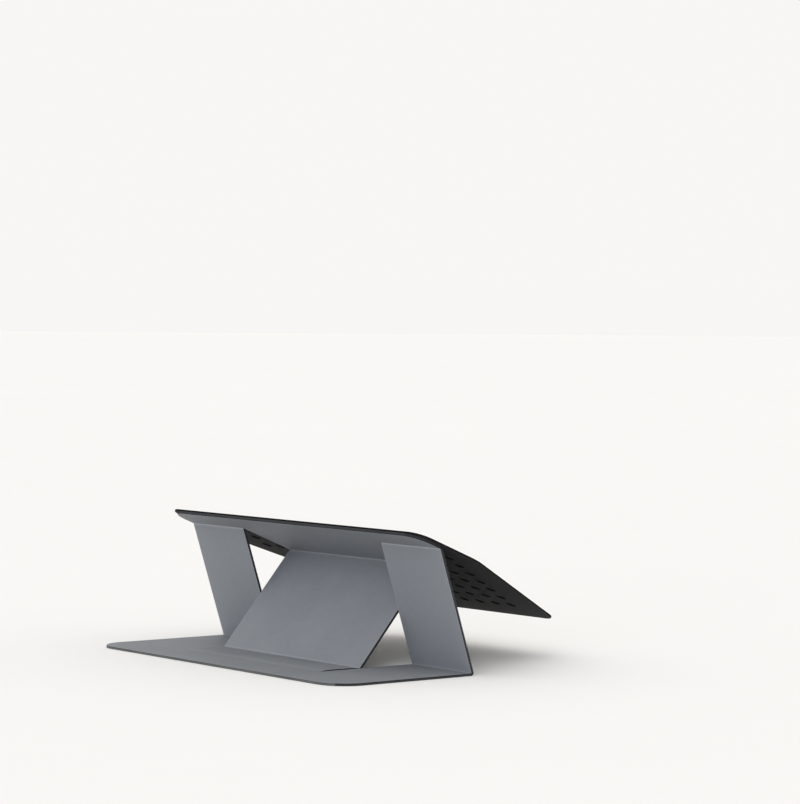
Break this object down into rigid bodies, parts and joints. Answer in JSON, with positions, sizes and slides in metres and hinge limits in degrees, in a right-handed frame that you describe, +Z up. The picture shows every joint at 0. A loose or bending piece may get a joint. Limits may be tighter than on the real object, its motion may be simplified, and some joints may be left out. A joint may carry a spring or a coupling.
{
  "type": "adhesive laptop stand",
  "caption": "Folding stand with a perforated adhesive plate for a computer's underside, held at an angle on two leg panels, a sloping centre panel and a flat base.",
  "frame": {"origin": "on the desk, in the middle of the base, with the stand open", "axes": "+X along the stand's width, +Y forwards under the computer, +Z up"},
  "size_m": [0.234, 0.1859, 0.0767],
  "materials": {
    "skin": "matt grained blue-grey synthetic leather",
    "board": "dark fibre board with black cut edges",
    "plate": "dark fine-grained perforated sheet",
    "adhesive": "tacky dark adhesive layer",
    "film": "thin dark bonding film",
    "magnet": "plated disc magnet"
  },
  "bodies": {
    "mount": {"adhesive_pad": "adhesive", "vent_plate": "plate", "plate_magnet_left": "magnet", "plate_magnet_right": "magnet", "bond_film": "film", "mount_board": "board", "mount_skin": "skin"},
    "leg_left": {"leg_left_board": "board", "leg_left_skin": "skin"},
    "leg_right": {"leg_right_board": "board", "leg_right_skin": "skin"},
    "base": {"base_board": "board", "flap_board": "board", "base_skin": "skin", "base_magnet_left": "magnet", "base_magnet_right": "magnet"},
    "centre": {"centre_board": "board", "centre_skin": "skin"}
  },
  "joints": [
    {"name": "leg_right_top_fold", "type": "hinge", "parent": "mount", "child": "leg_right", "pos_m": [0, 0.02242, 0.06771], "axis": [1, 0, 0], "range_deg": [0, 49.43]},
    {"name": "leg_left_top_fold", "type": "hinge", "parent": "mount", "child": "leg_left", "pos_m": [0, 0.02242, 0.06771], "axis": [1, 0, 0], "range_deg": [0, 49.43]},
    {"name": "leg_bottom_fold", "type": "hinge", "parent": "leg_right", "child": "base", "pos_m": [0, 0.04425, 0.0012], "axis": [1, 0, 0], "range_deg": [0, 108.18]},
    {"name": "centre_bottom_fold", "type": "hinge", "parent": "base", "child": "centre", "pos_m": [0, 0.00925, 0.0012], "axis": [1, 0, 0], "range_deg": [-49.43, 0]}
  ],
  "couplings": [
    {"joint": "leg_left_top_fold", "follows": "leg_right_top_fold", "ratio": 1},
    {"joint": "leg_bottom_fold", "follows": "leg_right_top_fold", "ratio": 2.1885},
    {"joint": "centre_bottom_fold", "follows": "leg_right_top_fold", "ratio": -1}
  ]
}
